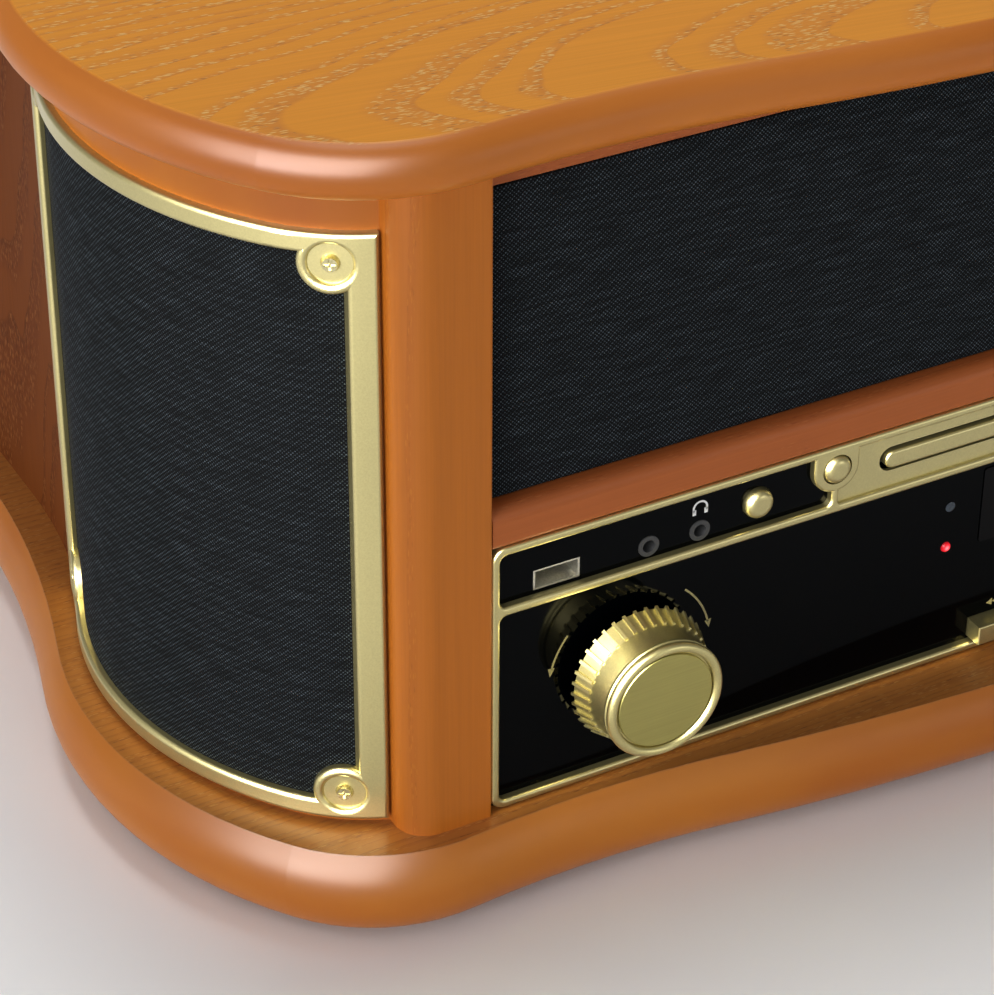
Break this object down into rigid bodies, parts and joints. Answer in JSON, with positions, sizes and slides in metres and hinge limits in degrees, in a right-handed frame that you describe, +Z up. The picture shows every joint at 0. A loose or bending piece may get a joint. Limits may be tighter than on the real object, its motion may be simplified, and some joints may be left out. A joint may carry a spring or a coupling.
{
  "type": "stereo music centre",
  "caption": "Serpentine wooden cabinet music centre with curved speaker corners, a control panel with knobs and disc tray, and a turntable under a hinged lid.",
  "frame": {"origin": "middle of the footprint at the height of the feet's undersides", "axes": "+X to the right seen from the front, +Y towards the back, +Z up; the front faces -Y"},
  "size_m": [0.528, 0.3655, 0.233],
  "materials": {
    "oak_veneer": "satin lacquered oak veneer",
    "dark_board": "black-stained fibreboard",
    "grille_cloth": "woven black speaker cloth",
    "gold_trim": "gold metallic lacquer on moulded ABS",
    "black_panel": "high-gloss black acrylic",
    "display_window": "smoked window with a small red lamp beside it",
    "black_plastic": "black moulded ABS",
    "rubber": "matt black",
    "steel": "zinc plated",
    "brass": "satin",
    "aluminium": "turned and anodised",
    "circuit_board": "green glass-fibre board with parts",
    "speaker": "black basket with a paper cone",
    "transformer": "varnished core and wound coil"
  },
  "bodies": {
    "cabinet": {"audio_jacks": "black_plastic", "back_panel": "dark_board", "bottom_panel": "dark_board", "cd_loader": "black_plastic", "column_left": "oak_veneer", "column_right": "oak_veneer", "control_bezel": "gold_trim", "control_fascia": "black_panel", "display_module": "display_window", "drive_belt": "rubber", "front_cloth_panel": "grille_cloth", "grille_cloth_left": "grille_cloth", "grille_cloth_right": "grille_cloth", "grille_frame_left": "gold_trim", "grille_frame_right": "gold_trim", "grille_screws": "steel", "hinge_cabinet_leaves": "brass", "line_out_sockets": "black_plastic", "main_board": "circuit_board", "mains_inlet": "black_plastic", "middle_rail": "oak_veneer", "pilaster_left": "oak_veneer", "pilaster_right": "oak_veneer", "plinth": "oak_veneer", "power_transformer": "transformer", "rotary_encoders": "steel", "rubber_feet": "rubber", "side_panel_left": "oak_veneer", "side_panel_right": "oak_veneer", "speaker_baffles": "dark_board", "speaker_drivers": "speaker", "tonearm_base": "black_plastic", "top_rail": "oak_veneer", "turntable_deck": "black_plastic", "turntable_motor": "steel", "usb_socket": "steel"},
    "lid": {"lid": "oak_veneer", "hinge_lid_leaves": "brass"},
    "platter": {"platter": "aluminium", "platter_mat": "rubber"},
    "motor_pulley": {"motor_pulley": "brass"},
    "tonearm_yoke": {"tonearm_yoke": "black_plastic"},
    "tonearm": {"tonearm": "aluminium"},
    "cue_lever": {"cue_lever": "black_plastic"},
    "speed_switch": {"speed_switch": "black_plastic"},
    "volume_knob": {"volume_knob": "gold_trim"},
    "tuning_knob": {"tuning_knob": "gold_trim"},
    "function_button": {"function_button": "gold_trim"},
    "band_button": {"band_button": "gold_trim"},
    "open_button": {"open_button": "gold_trim"},
    "standby_button": {"standby_button": "gold_trim"},
    "key_back": {"key_back": "gold_trim"},
    "key_play": {"key_play": "gold_trim"},
    "key_stop": {"key_stop": "gold_trim"},
    "key_forward": {"key_forward": "gold_trim"},
    "cd_tray": {"cd_tray": "black_plastic", "cd_tray_front": "gold_trim"},
    "cd_traverse": {"cd_traverse": "steel"},
    "cd_spindle": {"cd_spindle": "black_plastic"},
    "cd_laser_sled": {"cd_laser_sled": "black_plastic"}
  },
  "joints": [
    {"name": "lid_hinge", "type": "hinge", "parent": "cabinet", "child": "lid", "pos_m": [0, 0.177, 0.2159], "axis": [-1, 0, 0], "range_deg": [0, 80]},
    {"name": "platter_spin", "type": "hinge", "parent": "cabinet", "child": "platter", "pos_m": [-0.038, 0.0085, 0.18], "axis": [0, 0, 1], "continuous": true},
    {"name": "pulley_spin", "type": "hinge", "parent": "cabinet", "child": "motor_pulley", "pos_m": [-0.116, 0.0085, 0.18], "axis": [0, 0, 1], "continuous": true},
    {"name": "tonearm_swing", "type": "hinge", "parent": "cabinet", "child": "tonearm_yoke", "pos_m": [0.152, 0.112, 0.19], "axis": [0, 0, -1], "range_deg": [0, 50]},
    {"name": "tonearm_lift", "type": "hinge", "parent": "tonearm_yoke", "child": "tonearm", "pos_m": [0.152, 0.112, 0.203], "axis": [-1, 0, 0], "range_deg": [0, 3.5]},
    {"name": "cue_lever_turn", "type": "hinge", "parent": "cabinet", "child": "cue_lever", "pos_m": [0.1779, 0.112, 0.189], "axis": [-1, 0, 0], "range_deg": [0, 30]},
    {"name": "speed_switch_slide", "type": "slide", "parent": "cabinet", "child": "speed_switch", "axis": [0, 1, 0], "range_m": [-0.005, 0.005]},
    {"name": "volume_knob_turn", "type": "hinge", "parent": "cabinet", "child": "volume_knob", "pos_m": [-0.141, -0.17, 0.062], "axis": [0, 1, 0], "continuous": true},
    {"name": "tuning_knob_turn", "type": "hinge", "parent": "cabinet", "child": "tuning_knob", "pos_m": [0.141, -0.17, 0.062], "axis": [0, 1, 0], "continuous": true},
    {"name": "function_button_press", "type": "slide", "parent": "cabinet", "child": "function_button", "axis": [0, 1, 0], "range_m": [0, 0.0012], "stiffness_N_per_m": 250, "springref_m": -0.002},
    {"name": "band_button_press", "type": "slide", "parent": "cabinet", "child": "band_button", "axis": [0, 1, 0], "range_m": [0, 0.0012], "stiffness_N_per_m": 250, "springref_m": -0.002},
    {"name": "open_button_press", "type": "slide", "parent": "cabinet", "child": "open_button", "axis": [0, 1, 0], "range_m": [0, 0.0012], "stiffness_N_per_m": 250, "springref_m": -0.002},
    {"name": "standby_button_press", "type": "slide", "parent": "cabinet", "child": "standby_button", "axis": [0, 1, 0], "range_m": [0, 0.0012], "stiffness_N_per_m": 250, "springref_m": -0.002},
    {"name": "key_back_press", "type": "slide", "parent": "cabinet", "child": "key_back", "axis": [0, 1, 0], "range_m": [0, 0.0012], "stiffness_N_per_m": 250, "springref_m": -0.002},
    {"name": "key_play_press", "type": "slide", "parent": "cabinet", "child": "key_play", "axis": [0, 1, 0], "range_m": [0, 0.0012], "stiffness_N_per_m": 250, "springref_m": -0.002},
    {"name": "key_stop_press", "type": "slide", "parent": "cabinet", "child": "key_stop", "axis": [0, 1, 0], "range_m": [0, 0.0012], "stiffness_N_per_m": 250, "springref_m": -0.002},
    {"name": "key_forward_press", "type": "slide", "parent": "cabinet", "child": "key_forward", "axis": [0, 1, 0], "range_m": [0, 0.0012], "stiffness_N_per_m": 250, "springref_m": -0.002},
    {"name": "cd_tray_slide", "type": "slide", "parent": "cabinet", "child": "cd_tray", "axis": [0, -1, 0], "range_m": [0, 0.125]},
    {"name": "cd_traverse_tilt", "type": "hinge", "parent": "cabinet", "child": "cd_traverse", "pos_m": [0, -0.018, 0.089], "axis": [1, 0, 0], "range_deg": [0, 2.8]},
    {"name": "cd_spindle_spin", "type": "hinge", "parent": "cd_traverse", "child": "cd_spindle", "pos_m": [0, -0.0965, 0.09], "axis": [0, 0, 1], "continuous": true},
    {"name": "laser_sled_slide", "type": "slide", "parent": "cd_traverse", "child": "cd_laser_sled", "axis": [0, 1, 0], "range_m": [0, 0.034]}
  ],
  "couplings": [
    {"joint": "pulley_spin", "follows": "platter_spin", "ratio": 11.2},
    {"joint": "cd_traverse_tilt", "follows": "cd_tray_slide", "rad_per_m": 0.39095}
  ]
}
